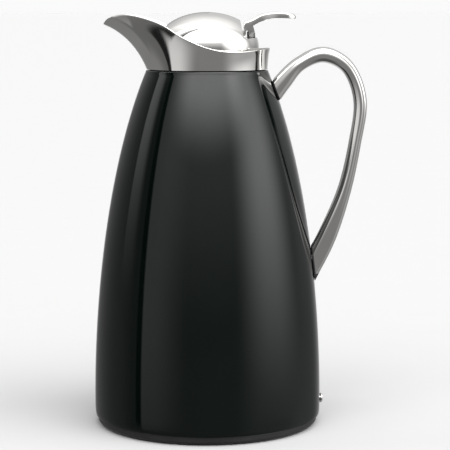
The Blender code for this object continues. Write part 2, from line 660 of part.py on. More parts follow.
def make_valve():
    lathe("valve_rod", [(0.0, 182.3), (ROD_R, 182.3), (ROD_R, ROD_TOP_Z), (0.0, ROD_TOP_Z)], 16,
          "steel", closed=False)
    disc = [(ROD_R + GAP, VALVE_DISC_Z), (VALVE_R, VALVE_DISC_Z), (VALVE_R, VALVE_DISC_Z + 1.4),
            (7.5, VALVE_DISC_TOP_Z), (ROD_R + GAP, VALVE_DISC_TOP_Z)]
    lathe("valve_disc", disc, SEGMENTS, "black_plastic")
    ring("valve_seal", 8.0, VALVE_R, SEAT_Z + GAP, VALVE_DISC_Z - GAP, SEGMENTS, "silicone")
    ring("valve_clip", ROD_R + 0.05, 3.4, VALVE_DISC_Z - 1.0, VALVE_DISC_Z - GAP, 16, "steel")
    cap = [(0.0, ROD_TOP_Z + 1.2), (4.0, ROD_TOP_Z + 0.8), (4.3, ROD_TOP_Z - 0.6), (4.3, 217.1),
           (ROD_R + 0.05, 217.1), (ROD_R + 0.05, ROD_TOP_Z + 0.05), (0.0, ROD_TOP_Z + 0.05)]
    lathe("valve_cap", cap[::-1], 20, "black_plastic", closed=False)
    low = VALVE_DISC_TOP_Z + GAP
    high = INSERT_Z - GAP
    stations = []
    sides = 5
    steps = SPRING_TURNS * 10
    climb = high - low - 2 * SPRING_WIRE
    for step in range(steps + 1):
        t = step / steps
        angle = math.tau * SPRING_TURNS * t
        out = Vector((math.cos(angle), math.sin(angle), 0.0))
        centre = SPRING_R * out + Vector((0.0, 0.0, low + SPRING_WIRE + climb * t))
        stations.append([centre + SPRING_WIRE * (math.cos(a) * out + math.sin(a) * Vector((0, 0, 1)))
                         for a in (math.tau * k / sides for k in range(sides))])
    sweep("valve_spring", stations, "steel")


def make_looks():
    LOOKS["dark_lacquer"] = material("dark_lacquer", (0.02, 0.025, 0.024), 0.12, 0.3)
    LOOKS["chrome"] = material("chrome", (0.86, 0.86, 0.85), 0.06, 1.0)
    LOOKS["steel"] = material("steel", (0.62, 0.62, 0.61), 0.3, 1.0)
    LOOKS["brass"] = material("brass", (0.75, 0.58, 0.28), 0.3, 1.0)
    LOOKS["silvered_glass"] = material("silvered_glass", (0.8, 0.81, 0.82), 0.08, 0.9)
    LOOKS["black_plastic"] = material("black_plastic", (0.02, 0.02, 0.02), 0.45, 0.0)
    LOOKS["rubber"] = material("rubber", (0.015, 0.015, 0.015), 0.7, 0.0)
    LOOKS["silicone"] = material("silicone", (0.08, 0.08, 0.08), 0.5, 0.0)
    LOOKS["hidden"] = material("cutter", (0.8, 0.2, 0.2), 0.5, 0.0)


def main():
    clear_scene()
    make_looks()
    make_shell()
    make_liner()
    make_neck()
    make_collar()
    make_handle()
    make_base()
    make_dome()
    make_lid()
    make_lever()
    make_valve()


main()
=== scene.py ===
"""Looks of a thermal carafe with a thumb-lever lid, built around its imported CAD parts.

Lengths are written in millimetres and scaled to metres where a mesh is made. The flask's axis
is +Z, the handle is at +X and the spout at -X.
"""

import json
import math

import bmesh
import bpy
from mathutils import Matrix, Vector

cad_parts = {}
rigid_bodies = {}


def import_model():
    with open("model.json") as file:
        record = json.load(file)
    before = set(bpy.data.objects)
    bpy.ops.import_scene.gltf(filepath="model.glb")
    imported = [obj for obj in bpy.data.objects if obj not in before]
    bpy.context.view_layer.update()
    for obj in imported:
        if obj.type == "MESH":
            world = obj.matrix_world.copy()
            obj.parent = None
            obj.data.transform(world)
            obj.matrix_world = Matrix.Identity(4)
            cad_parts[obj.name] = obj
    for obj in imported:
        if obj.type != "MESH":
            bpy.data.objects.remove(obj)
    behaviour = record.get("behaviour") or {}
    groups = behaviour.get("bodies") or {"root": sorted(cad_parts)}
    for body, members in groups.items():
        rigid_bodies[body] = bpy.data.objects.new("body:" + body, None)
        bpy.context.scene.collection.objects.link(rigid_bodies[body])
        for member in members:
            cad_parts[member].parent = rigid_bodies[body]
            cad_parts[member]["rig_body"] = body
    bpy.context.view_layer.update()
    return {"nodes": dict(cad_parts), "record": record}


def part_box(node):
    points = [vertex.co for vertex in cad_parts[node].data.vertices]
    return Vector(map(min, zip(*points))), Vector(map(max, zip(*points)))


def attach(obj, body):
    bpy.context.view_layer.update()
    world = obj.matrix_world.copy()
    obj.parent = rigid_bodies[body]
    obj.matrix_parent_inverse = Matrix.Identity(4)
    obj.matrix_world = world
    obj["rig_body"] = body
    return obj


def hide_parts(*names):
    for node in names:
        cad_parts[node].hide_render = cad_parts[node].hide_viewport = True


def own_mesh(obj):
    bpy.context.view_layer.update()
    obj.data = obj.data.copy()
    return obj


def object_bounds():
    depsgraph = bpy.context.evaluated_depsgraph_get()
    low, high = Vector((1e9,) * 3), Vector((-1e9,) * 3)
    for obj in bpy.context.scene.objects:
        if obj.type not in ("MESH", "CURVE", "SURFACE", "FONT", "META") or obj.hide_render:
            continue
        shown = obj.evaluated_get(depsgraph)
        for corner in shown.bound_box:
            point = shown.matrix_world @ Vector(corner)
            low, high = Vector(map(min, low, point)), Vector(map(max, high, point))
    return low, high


MM = 0.001
GAP = 0.3                              # between neighbours

# Fineness of round pieces, and the turns that count as a corner and as a sharp edge
ROUND = 160
SMALL_ROUND = 48
CORNER_ANGLE = math.radians(18)
SHARP_ANGLE = math.radians(35)

# Shell: a Bezier wall from its widest ring to its shoulder. A reach is how far up or down the
# curve's control point lies from that end.
SHELL_WALL = 1.0
SHELL_WIDE_Z = 10.0
SHELL_WIDE_REACH = 68.0
SHELL_HEM = ((0.9, 0.0), (0.45, 0.15), (0.2, 0.7), (0.06, 2.6))   # (in from the side, up)
SHELL_SHOULDER_R = 33.75
SHELL_SHOULDER_REACH = 46.0
SHELL_SHOULDER_SLOPE = 0.417
SHOULDER_RADIUS = 1.1
NECK_HOLE_R = 29.7

# Neck and thread
SLEEVE_R = 29.3
SLEEVE_BORE = 25.3
SLEEVE_FLANGE_R = 31.4
SLEEVE_FLANGE_THICK = 1.2
THREAD_LEAD = 24.0
THREAD_STARTS = 3
THREAD_TURNS = 0.42
THREAD_CREST = 1.1
THREAD_ROOT = 2.0
THREAD_SINK = 0.8                      # how far a ridge is rooted in its wall
SLEEVE_THREAD_Z = 183.0
SLEEVE_THREAD_TIP = 23.2
STOPPER_THREAD_TIP = 24.9

# Collar with the spout: in plan its rim is a rear circle joined to the spout's small circle.
COLLAR_BASE_R = 33.2
COLLAR_WALL = 0.6
COLLAR_FLANGE_R = 32.2
COLLAR_FLANGE_THICK = 1.2
COLLAR_REAR_R = 34.6
SPOUT_TIP_R = 12.0
RIM = ((34.6, 207.6), (16.0, 206.2), (2.0, 208.0), (-12.0, 213.6), (-24.0, 220.7),
       (-36.0, 224.7), (-46.0, 226.0), (-53.5, 224.0), (-56.8, 220.8))   # (x, z)
COLLAR_BULGE = (0.32, 0.74)            # the wall's control point, across and up

# Lid
DOME_MIDDLE_Z = 208.0
DOME_WALL = 1.0
LEDGE_X = 20.0
LEDGE_Z = 213.2
STEP_LEAN = 0.2                        # forward, for each millimetre up
ARM_SLOT = (16.0, 21.0, 2.6)           # from x, to x, half width
POST_SLOT = (21.5, 26.9, 2.1)
STOPPER_R = 22.8
STOPPER_WALL = 2.4
STOPPER_FLANGE_Z = 201.3
PORT_TUBE_R = 19.5
PORT_TUBE_BORE = 15.5
PORT_HALF_WIDTH = 8.5
POST_ANGLES = (60, 180, 300)
SEAT_R = 11.0
SEAT_Z = 180.0

# Valve
SPRING_R = 5.2
SPRING_WIRE = 0.45
SPRING_TURNS = 5

# Lever: a foot on the pin, an arm with a fork below the valve cap, and a thumb tab on top
PIVOT = (24.6, 215.3)
PIN_R = 1.0
PIVOT_EAR_R = 1.75
STEM_FRONT = 20.1
STEM_HALF_WIDTH = 3.9
STEM_SLOT = (21.25, 2.1, 218.8)        # front, half width, top
STEM_WINDOW = ((22.7, 216.6), (22.4, 217.1), (21.6, 217.1), (21.3, 216.4), (21.2, 214.2))
TAB_FLARE = (27.0, 15.0)               # start and length of the widening
TAB_HALF_WIDTH = 7.4
TAB_CROWN = 1.3
TAB_EDGE = 0.3
ARM_FRONT = 16.0
ARM_Z = (214.2, 216.2)
ARM_HALF_WIDTH = 2.2
FORK_HALF_WIDTH = 4.8
FORK_R = 2.2
FORK_Z = 214.6
ROD_R = 1.8
CUT_Z = (205.0, 225.0)                 # past both ends of the lever's arm and foot

# Handle: centre line as (x, z, half thickness, half width)
HANDLE = ((33.5, 178.0, 5.0, 7.6), (41.6, 189.2, 4.9, 7.6), (51.0, 199.0, 4.0, 7.5),
          (64.3, 204.0, 4.3, 7.3), (77.6, 196.6, 3.8, 7.1), (84.2, 178.5, 3.7, 6.9),
          (81.5, 155.5, 3.5, 6.6), (75.9, 129.5, 3.9, 6.1), (66.6, 104.0, 5.3, 5.5),
          (56.6, 84.5, 5.8, 5.0), (49.0, 70.0, 5.8, 4.8))
HANDLE_BEVEL = (1.6, 1.35)             # along the thickness, along the width
HANDLE_CROWN = 0.9                     # rise of the outer and inner faces
HANDLE_BELLY = 0.4                     # bulge of the sides
HANDLE_EDGE = 0.35                     # rounding of the inner bevel's edges
HANDLE_ROUND = 0.75                    # how full the outer bevel is
HANDLE_END_Z = 83.0
PAD_THICK = 1.2
PAD_TAIL = 4.2                         # how far the lower pad goes below the handle's end

# Base
SKIRT_R = 61.4
SKIRT_WALL = 2.2
FLOOR_TOP_Z = 2.8
GROOVE = (54.0, 59.0, 1.8)             # inner radius, outer radius, top
FOOT_RING = (54.3, 58.7, 0.3, 1.5)     # inner radius, outer radius, bottom, top
NUB_COUNT = 12
NUB_RING_R = 56.5
NUB_R = 1.6
NUB_TOP_Z = 0.9
SCREW_SEAT_X = 63.95
SCREW_SHANK_R = 1.4
SCREW_RIM = 0.25
SCREW_SLOT = (1.25, 0.28, 0.45)        # half length, half width, depth

# Camera, in millimetres and degrees
CAMERA_AWAY = 955.0
CAMERA_SIDE = 9.85
CAMERA_Z = 230.2
CAMERA_DOWN = 7.19
CAMERA_LENS = 138.6
CAMERA_SENSOR = 36.0

# Floor and studio. A light has four turns and four heights, each start, full, fade and end, and a
# strength. A flag has the same, but its last number is the part of the light that it takes away.
# The pit is the range of heights over which the ambient light rises from nothing.
FLOOR_REACH = 60000.0
FLOOR_SHADE = (0.387, 0.387, 0.387)
FLOOR_TINT = (0.397, 0.397, 0.397)
STUDIO_AMBIENT = 0.22
STUDIO_BACKDROP = 0.96
STUDIO_PIT = (-88, -72)
STUDIO_FLAGS = (
    ((-100, -80, -71.5, -69.8), (-50, -12, 91, 92), 0.38),
    ((-77.5, -75.5, -71.2, -69.8), (-18.5, -13, 91, 92), 0.9),
    ((-85, -60, 30, 70), (-92, -91, -64, -48), 0.6),
)
STUDIO_LIGHTS = (
    ((30, 71, 76, 114), (-16, 18, 91, 92), 3.6),
    ((25, 58, 100, 140), (-50, -22, 91, 92), 0.2),
    ((-75, -25, 45, 80), (20, 39, 91, 92), 4.2),
    ((-75, -25, 45, 80), (-4, 22, 91, 92), 0.5),
    ((-400, -399, 399, 400), (28, 66, 91, 92), 0.65),
    ((-70.5, -68.5, -58, -18), (-28, 0, 91, 92), 0.55),
    ((-106, -104, -92, -83), (-4, 28, 91, 92), 1.5),
    ((-150, -135, -90, -60), (22, 45, 91, 92), 0.4),
    ((-181, -180, -150, -105), (-5, 32, 91, 92), 0.45),
    ((100, 130, 180, 181), (-10, 25, 91, 92), 0.45),
    ((140, 178, 180, 181), (-60, -2, 0, 14), 0.4),
    ((-181, -180, -174, -156), (-50, -15, -2, 12), 0.35),
)

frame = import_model()
LOOKS = {}


def box_mm(node):
    """The lowest and highest corner of a CAD node, in millimetres."""
    low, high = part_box(node)
    return low / MM, high / MM


# ---------------------------------------------------------------- meshes

def in_order(mesh):
    """Sorts a bmesh by position, because a merge leaves its faces in an order that varies."""
    def renumber(items, place):
        for rank, item in enumerate(sorted(items, key=place)):
            item.index = rank
        items.sort()
    renumber(mesh.verts, lambda vert: tuple(vert.co))
    renumber(mesh.edges, lambda edge: sorted(vert.index for vert in edge.verts))
    renumber(mesh.faces, lambda face: sorted(vert.index for vert in face.verts))


def to_object(name, mesh):
    """Turns a bmesh in millimetres into an object in metres."""
    bmesh.ops.remove_doubles(mesh, verts=mesh.verts, dist=1e-4)
    in_order(mesh)
    bmesh.ops.recalc_face_normals(mesh, faces=mesh.faces)
    bmesh.ops.scale(mesh, verts=mesh.verts, vec=(MM, MM, MM))
    data = bpy.data.meshes.new(name)
    mesh.to_mesh(data)
    mesh.free()
    data.shade_smooth()
    data.set_sharp_from_angle(angle=SHARP_ANGLE)
    obj = bpy.data.objects.new(name, data)
    bpy.context.scene.collection.objects.link(obj)
    return obj


def lathe(name, profile, segments=ROUND, closed=True):
    """Turns (radius, z) points about +Z. An open profile starts and ends on the axis."""
    mesh = bmesh.new()
    points = [mesh.verts.new((r, 0.0, z)) for r, z in profile]
    pairs = list(zip(points, points[1:]))
    if closed:
        pairs.append((points[-1], points[0]))
    edges = [mesh.edges.new(pair) for pair in pairs]
    bmesh.ops.spin(mesh, geom=points + edges, cent=(0, 0, 0), axis=(0, 0, 1),
                   angle=math.tau, steps=segments, use_merge=True)
    return to_object(name, mesh)


def ring(name, inner, outer, low, high, radius):
    corners = [(outer, high), (outer, low), (inner, low), (inner, high)]
    return lathe(name, soften(corners, radius))


def sweep(name, stations, closed_ends=True):
    """Joins rings of 3-D points into one tube, with end caps or without."""
    mesh = bmesh.new()
    rings = [[mesh.verts.new(point) for point in station] for station in stations]
    for first, second in zip(rings, rings[1:]):
        count = len(first)
        for i in range(count):
            j = (i + 1) % count
            mesh.faces.new((first[i], first[j], second[j], second[i]))
    if closed_ends:
        mesh.faces.new(rings[0])
        mesh.faces.new(rings[-1][::-1])
    return to_object(name, mesh)


def plate(name, outline, low, high):
    """Extrudes an outline of (x, z) points along Y."""
    mesh = bmesh.new()
    face = mesh.faces.new([mesh.verts.new((x, low, z)) for x, z in outline])
    made = bmesh.ops.extrude_face_region(mesh, geom=[face])
    moved = [item for item in made["geom"] if isinstance(item, bmesh.types.BMVert)]
    bmesh.ops.translate(mesh, verts=moved, vec=(0.0, high - low, 0.0))
    return to_object(name, mesh)


def rod(name, start, end, radius):
    """A round bar between two points."""
    start, end = Vector(start), Vector(end)
    mesh = bmesh.new()
    turn = (end - start).to_track_quat("Z", "Y").to_matrix().to_4x4()
    bmesh.ops.create_cone(mesh, cap_ends=True, segments=SMALL_ROUND, radius1=radius,
                          radius2=radius, depth=(end - start).length,
                          matrix=Matrix.Translation((start + end) / 2) @ turn)
    return to_object(name, mesh)


def block(name, low, high):
    """A box between its lowest and its highest corner."""
    mesh = bmesh.new()
    size = Vector(high) - Vector(low)
    middle = (Vector(high) + Vector(low)) / 2
    bmesh.ops.create_cube(mesh, size=1.0,
                          matrix=Matrix.Translation(middle) @ Matrix.Diagonal((*size, 1)))
    return to_object(name, mesh)


def apply_modifiers(obj):
    """Replaces an object's mesh by what its modifiers make of it."""
    bpy.context.view_layer.update()
    graph = bpy.context.evaluated_depsgraph_get()
    data = bpy.data.meshes.new_from_object(obj.evaluated_get(graph))
    obj.modifiers.clear()
    obj.data = data


def combine(target, operation, *tools):
    """Applies a Boolean with each tool and removes the tools."""
    for tool in tools:
        modifier = target.modifiers.new(tool.name, "BOOLEAN")
        modifier.operation = operation
        modifier.object = tool
        modifier.solver = "EXACT"
        apply_modifiers(target)
        bpy.data.objects.remove(tool)
    return target


def cut(target, *tools):
    return combine(target, "DIFFERENCE", *tools)


def join(target, *tools):
    return combine(target, "UNION", *tools)


def shade_again(obj):
    """Sets smooth shading and sharp edges on a cut mesh."""
    obj.data.shade_smooth()
    obj.data.set_sharp_from_angle(angle=SHARP_ANGLE)
    return obj


def bevel(obj, width, segments=3):
    """Rounds the sharp edges that a Boolean leaves."""
    mesh = bmesh.new()
    mesh.from_mesh(obj.data)
    bmesh.ops.remove_doubles(mesh, verts=mesh.verts, dist=2e-6)
    in_order(mesh)
    bmesh.ops.dissolve_limit(mesh, angle_limit=math.radians(0.05), verts=mesh.verts,
                             edges=mesh.edges)
    mesh.to_mesh(obj.data)
    mesh.free()
    modifier = obj.modifiers.new("edges", "BEVEL")
    modifier.width = width * MM
    modifier.segments = segments
    modifier.limit_method = "ANGLE"
    modifier.angle_limit = math.radians(30)
    modifier.use_clamp_overlap = True
    modifier.miter_outer = "MITER_ARC"
    apply_modifiers(obj)
    return shade_again(obj)


# ---------------------------------------------------------------- curves

def arc(centre, radius, start, end, steps):
    """Points on an arc, angles in degrees."""
    angles = [math.radians(start + (end - start) * i / steps) for i in range(steps + 1)]
    return [(centre[0] + radius * math.cos(a), centre[1] + radius * math.sin(a)) for a in angles]


def bezier(p0, p1, p2, p3, steps):
    """Points on a cubic Bezier curve from p0 to p3."""
    points = []
    for i in range(steps + 1):
        t = i / steps
        s = 1.0 - t
        points.append(tuple(s * s * s * a + 3 * s * s * t * b + 3 * s * t * t * c + t * t * t * d
                            for a, b, c, d in zip(p0, p1, p2, p3)))
    return points


def smooth(anchors, steps):
    """A Catmull-Rom curve through the anchors, with this many steps between two of them."""
    padded = [anchors[0], *anchors, anchors[-1]]
    points = []
    for before, start, end, after in zip(padded, padded[1:], padded[2:], padded[3:]):
        for i in range(steps):
            t = i / steps
            points.append(tuple(
                0.5 * (2 * b + (c - a) * t + (2 * a - 5 * b + 4 * c - d) * t * t
                       + (3 * b - a - 3 * c + d) * t * t * t)
                for a, b, c, d in zip(before, start, end, after)))
    points.append(tuple(anchors[-1]))
    return points


def height_at(curve, x):
    """The height of a curve of (x, z) points at x."""
    for (x0, z0), (x1, z1) in zip(curve, curve[1:]):
        if min(x0, x1) <= x <= max(x0, x1):
            return z0 + (z1 - z0) * (x - x0) / (x1 - x0)
    return curve[-1][1]


def rounded(before, here, after, radius, steps=3):
    """Points that cut a corner back by radius, or by less on a short side."""
    here = Vector(here)
    back = Vector(before) - here
    ahead = Vector(after) - here
    start = here + back.normalized() * min(radius, back.length * 0.45)
    end = here + ahead.normalized() * min(radius, ahead.length * 0.45)
    return [tuple(start * (1 - t) ** 2 + here * 2 * t * (1 - t) + end * t * t)
            for t in (step / steps for step in range(steps + 1))]


def soften(points, radius, closed=True):
    """Rounds the corners of an outline."""
    made = []
    count = len(points)
    for i, point in enumerate(points):
        before, after = points[i - 1], points[(i + 1) % count]
        turn = math.pi - (Vector(before) - Vector(point)).angle(Vector(after) - Vector(point))
        if turn < CORNER_ANGLE or (not closed and i in (0, count - 1)):
            made.append(tuple(point))
        else:
            made += rounded(before, point, after, radius)
    return made


# ---------------------------------------------------------------- pieces

def stand_in(obj, node, slot):
    """Puts a finished piece in a CAD node's place, on the same body."""
    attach(obj, frame["nodes"][node]["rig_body"])
    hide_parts(node)
    obj.data.materials.clear()
    obj.data.materials.append(LOOKS[slot])
    return obj


def shell_curve(steps):
    """The shell's outer wall from its widest ring to the shoulder."""
    high = box_mm("outer_shell")[1]
    wide = (high.y, SHELL_WIDE_Z)
    top = (SHELL_SHOULDER_R, high.z - SHOULDER_RADIUS)
    return bezier(wide, (wide[0], wide[1] + SHELL_WIDE_REACH),
                  (top[0] + SHELL_SHOULDER_SLOPE * SHELL_SHOULDER_REACH,
                   top[1] - SHELL_SHOULDER_REACH),
                  top, steps)


def make_shell():
    low, high = box_mm("outer_shell")
    outer = [(high.y - inset, low.z + up) for inset, up in SHELL_HEM]
    outer += shell_curve(90)
    outer += arc((SHELL_SHOULDER_R - SHOULDER_RADIUS, high.z - SHOULDER_RADIUS), SHOULDER_RADIUS,
                 24, 90, 6)
    inner = [(NECK_HOLE_R, high.z), (NECK_HOLE_R, high.z - SHELL_WALL)]
    inner += [(r - SHELL_WALL, z) for r, z in reversed(shell_curve(30))]
    inner += [(high.y - SHELL_WALL, low.z)]
    stand_in(lathe("shell", outer + inner, 2 * ROUND), "outer_shell", "dark_lacquer")


def collar_stations(rear_steps, line_steps, tip_steps):
    """Triples of (angle on the base circle, plan point of the rim, plan normal of the rim)."""
    centre = box_mm("pour_collar")[0].x + SPOUT_TIP_R
    tangent = math.pi / 2 + math.asin((COLLAR_REAR_R - SPOUT_TIP_R) / -centre)
    spout_steps = line_steps + tip_steps
    half = []
    for i in range(rear_steps + spout_steps + 1):
        if i < rear_steps:
            base = face = tangent * i / rear_steps
            along = 0.0
        else:
            spout = i - rear_steps
            base = tangent + (math.pi - tangent) * spout / spout_steps
            along = min(1.0, spout / line_steps)
            face = tangent + (math.pi - tangent) * max(0, spout - line_steps) / tip_steps
        normal = Vector((math.cos(face), math.sin(face)))
        rear = normal * COLLAR_REAR_R
        tip = Vector((centre, 0.0)) + normal * SPOUT_TIP_R
        half.append((base, rear.lerp(tip, along), normal))
    mirrored = [(-a, Vector((p.x, -p.y)), Vector((n.x, -n.y))) for a, p, n in half[1:-1]]
    return half + mirrored[::-1]


def collar_wall(out, rim, height, radius, base_z, rows):
    """One vertical line of the collar's wall, bulging between its foot and its rim."""
    foot = out * radius
    pull = foot + (rim - foot) * COLLAR_BULGE[0]
    pull_z = base_z + (height - base_z) * COLLAR_BULGE[1]
    points = []
    for i in range(rows + 1):
        t = i / rows
        xy = foot * (1 - t) ** 2 + pull * 2 * t * (1 - t) + rim * t * t
        z = base_z * (1 - t) ** 2 + pull_z * 2 * t * (1 - t) + height * t * t
        points.append((xy.x, xy.y, z))
    return points


def make_collar():
    """The flange under the sleeve, the wall up to the round lip, and the wall's inside."""
    base_z = box_mm("pour_collar")[0].z
    inside_z = base_z + 2.0
    flange_z = base_z + COLLAR_FLANGE_THICK
    flange = soften([(NECK_HOLE_R, inside_z), (NECK_HOLE_R, flange_z), (COLLAR_FLANGE_R, flange_z),
                     (COLLAR_FLANGE_R, base_z), (COLLAR_BASE_R, base_z)], 0.2, closed=False)
    half_wall = COLLAR_WALL / 2
    rim_line = smooth(RIM, 24)
    stations = []
    for angle, rim, normal in collar_stations(52, 20, 28):
        out = Vector((math.cos(angle), math.sin(angle)))
        height = height_at(rim_line, max(RIM[-1][0], min(RIM[0][0], rim.x)))
        section = [(*(out * r), z) for r, z in flange[:-1]]
        section += collar_wall(out, rim, height - half_wall, COLLAR_BASE_R, base_z, 26)
        lip = rim - normal * half_wall
        for step in range(20, 180, 20):
            a = math.radians(step)
            edge = lip + normal * half_wall * math.cos(a)
            section.append((edge.x, edge.y, height - half_wall + half_wall * math.sin(a)))
        inside = collar_wall(out, rim - normal * COLLAR_WALL, height - half_wall,
                             COLLAR_BASE_R - 0.9, inside_z, 26)
        stations.append(section + inside[::-1])
    collar = sweep("collar", [*stations, stations[0]], closed_ends=False)
    stand_in(collar, "pour_collar", "chrome")


def outer_corner(crown_end, belly_end, t):
    """A point on the rounded bevel between the handle's outer face and its side."""
    middle = (Vector(crown_end) + Vector(belly_end)) / 2
    pull = middle.lerp(Vector((crown_end[0], belly_end[1])), HANDLE_ROUND)
    return tuple(Vector(crown_end) * (1 - t) ** 2 + pull * 2 * t * (1 - t)
                 + Vector(belly_end) * t * t)


def handle_sections(first, last, trim=0.0, steps=16):
    """Sections along the handle's centre line, from one of its points to another.

    A section has crowned faces, a round bevel on its outer side and a crisp one inside. Its half
    goes from the middle of the outer face round to the middle of the inner face.
    """
    line = smooth(HANDLE, steps)
    made = []
    for index in range(first * steps, last * steps + 1):
        x, z, thick, wide = line[index]
        thick -= trim
        wide -= trim
        before = Vector(line[max(index - 1, 0)][:2])
        after = Vector(line[min(index + 1, len(line) - 1)][:2])
        along = (after - before).normalized()
        outward = Vector((-along.y, along.x))
        face = thick - HANDLE_CROWN
        side = face - HANDLE_BEVEL[0]
        edge = wide - HANDLE_BEVEL[1]
        crown = [(face + HANDLE_CROWN * (1 - (i / 5) ** 2), edge * i / 5) for i in range(6)]
        belly = [(side * i / 3, wide - HANDLE_BELLY * (i / 3) ** 2) for i in range(3, -4, -1)]
        inside = [(-a, b) for a, b in reversed(crown)]
        corner = [outer_corner(crown[-1], belly[0], t) for t in (0.2, 0.4, 0.6, 0.8)]
        half = [*crown, *corner, *belly[:-1],
                *rounded(belly[-2], belly[-1], inside[0], HANDLE_EDGE),
                *rounded(belly[-1], inside[0], inside[1], HANDLE_EDGE), *inside[1:]]
        section = half + [(a, -b) for a, b in half[-2:0:-1]]
        made.append([(x + outward.x * a, b, z + outward.y * a) for a, b in section])
    return made


def envelope(name, margin):
    """A solid of the shell's outside, grown by a margin."""
    wall = [(r + margin, z) for r, z in shell_curve(60)]
    profile = [(0.0, -5.0), (wall[0][0], -5.0), *wall, (0.0, wall[-1][1])]
    return lathe(name, profile, 2 * ROUND, closed=False)


def below(name, z):
    """A block on the handle's side that reaches up to a height."""
    return block(name, (30, -20, 40), (90, 20, z))


def pad_skin(node, first, last, trim, low):
    """The layer between the handle's section and the shell, and all of the section below low."""
    pad = sweep(f"{node}_skin", handle_sections(first, last, trim))
    space = cut(block("space", (20, -20, low), (100, 20, 220)), envelope("layer", PAD_THICK))
    return cut(pad, envelope("seat", GAP), space)


def make_handle():
    last = len(HANDLE) - 1
    handle = sweep("handle_loop", handle_sections(0, last))
    cut(handle, envelope("seat", PAD_THICK), below("end", HANDLE_END_Z))
    stand_in(shade_again(handle), "handle", "chrome")
    upper = pad_skin("handle_upper_pad", 0, 2, 0.3, 150.0)
    stand_in(upper, "handle_upper_pad", "rubber")
    lower = pad_skin("handle_lower_pad", last - 3, last, 0.0, HANDLE_END_Z - GAP)
    cut(lower, below("tail", HANDLE_END_Z - PAD_TAIL))
    stand_in(lower, "handle_lower_pad", "rubber")


def make_base():
    """The floor with its groove and skirt, and the soft ring in the groove with its nubs."""
    low, high = box_mm("base_cap")
    wide = high.y
    skirt_bore = SKIRT_R - SKIRT_WALL
    groove_in, groove_out, groove_top = GROOVE
    profile = soften([(0.0, low.z), (groove_in, low.z), (groove_in, groove_top),
                      (groove_out, groove_top), (groove_out, 0.3), (60.2, 0.3), (wide - 0.3, 1.4),
                      (wide, 4.0), (SKIRT_R, 4.4), (SKIRT_R, high.z), (skirt_bore, high.z),
                      (skirt_bore, FLOOR_TOP_Z), (0.0, FLOOR_TOP_Z)], 0.4, closed=False)
    stand_in(lathe("base", profile, 2 * ROUND, closed=False), "base_cap", "black_plastic")
    feet = ring("feet", *FOOT_RING, 0.3)
    bottom = box_mm("foot_ring")[0].z
    nub_profile = soften([(0.0, bottom), (NUB_R, bottom), (NUB_R, NUB_TOP_Z), (0.0, NUB_TOP_Z)],
                         0.4, closed=False)
    for index in range(NUB_COUNT):
        angle = math.tau * (index + 0.5) / NUB_COUNT
        nub = lathe(f"nub_{index}", nub_profile, 20, closed=False)
        nub.location = Vector((NUB_RING_R * math.cos(angle), NUB_RING_R * math.sin(angle), 0.0)) * MM
        join(feet, nub)
    stand_in(feet, "foot_ring", "rubber")


def make_base_screw():
    """A domed head with a cross slot, turned about +Z and then laid along +X."""
    low, high = box_mm("base_screw")
    middle_z = (low.z + high.z) / 2
    radius = (high.z - low.z) / 2
    rise = high.x - SCREW_SEAT_X
    end = low.x - SCREW_SEAT_X
    head = [(0.0, rise)]
    head += [(radius * math.sin(a), SCREW_RIM + (rise - SCREW_RIM) * math.cos(a))
             for a in (math.pi / 2 * i / 10 for i in range(1, 11))]
    head += [(radius, 0.1), (radius - 0.1, 0.0), (SCREW_SHANK_R, 0.0), (SCREW_SHANK_R, end)]
    head += [(0.0, end)]
    screw = lathe("base_screw_head", head[::-1], SMALL_ROUND, closed=False)
    length, width, depth = SCREW_SLOT
    for name, x, y in (("slot_a", length, width), ("slot_b", width, length)):
        cut(screw, block(name, (-x, -y, rise - depth), (x, y, rise + 1.0)))
    seat = Matrix.Translation(Vector((SCREW_SEAT_X, 0.0, middle_z)) * MM)
    screw.data.transform(seat @ Matrix.Rotation(math.pi / 2, 4, "Y"))
    stand_in(screw, "base_screw", "chrome")


def dome_curve(inset, steps):
    """The dome's outline from its widest ring to the axis."""
    high = box_mm("lid_dome")[1]
    rise = high.z - DOME_MIDDLE_Z - inset
    radius = high.y - inset
    return [(radius * math.cos(a), DOME_MIDDLE_Z + rise * math.sin(a))
            for a in (math.pi / 2 * i / steps for i in range(steps + 1))]


def dome_step(name, inset):
    """The space behind the dome's step: a level ledge and a wall that leans forward."""
    foot = (LEDGE_X - inset, LEDGE_Z - inset)
    top = 240.0
    outline = [foot, (60.0, foot[1]), (60.0, top), (foot[0] - STEP_LEAN * (top - foot[1]), top)]
    return plate(name, outline, -40.0, 40.0)


def make_dome():
    """The hollow dome with its step, a slot for the lever's arm and one for the bracket's post."""
    low, high = box_mm("lid_dome")
    outer = [(0.0, low.z), (high.y - 0.4, low.z), (high.y, low.z + 0.4), *dome_curve(0.0, 48)]
    dome = lathe("dome", outer, ROUND, closed=False)
    hollow = lathe("hollow", [(0.0, 200.0), (high.y - DOME_WALL, 200.0), *dome_curve(DOME_WALL, 32)],
                   ROUND, closed=False)
    cut(hollow, dome_step("step_inside", DOME_WALL))
    arm_from, arm_to, arm_side = ARM_SLOT
    post_from, post_to, post_side = POST_SLOT
    cut(dome, dome_step("step", 0.0), hollow,
        block("slot", (arm_from, -arm_side, LEDGE_Z + 0.4), (arm_to, arm_side, LEDGE_Z + 5.6)),
        block("ledge_slot", (post_from, -post_side, 208.0), (post_to, post_side, 218.0)))
    stand_in(bevel(dome, 0.35), "lid_dome", "chrome")


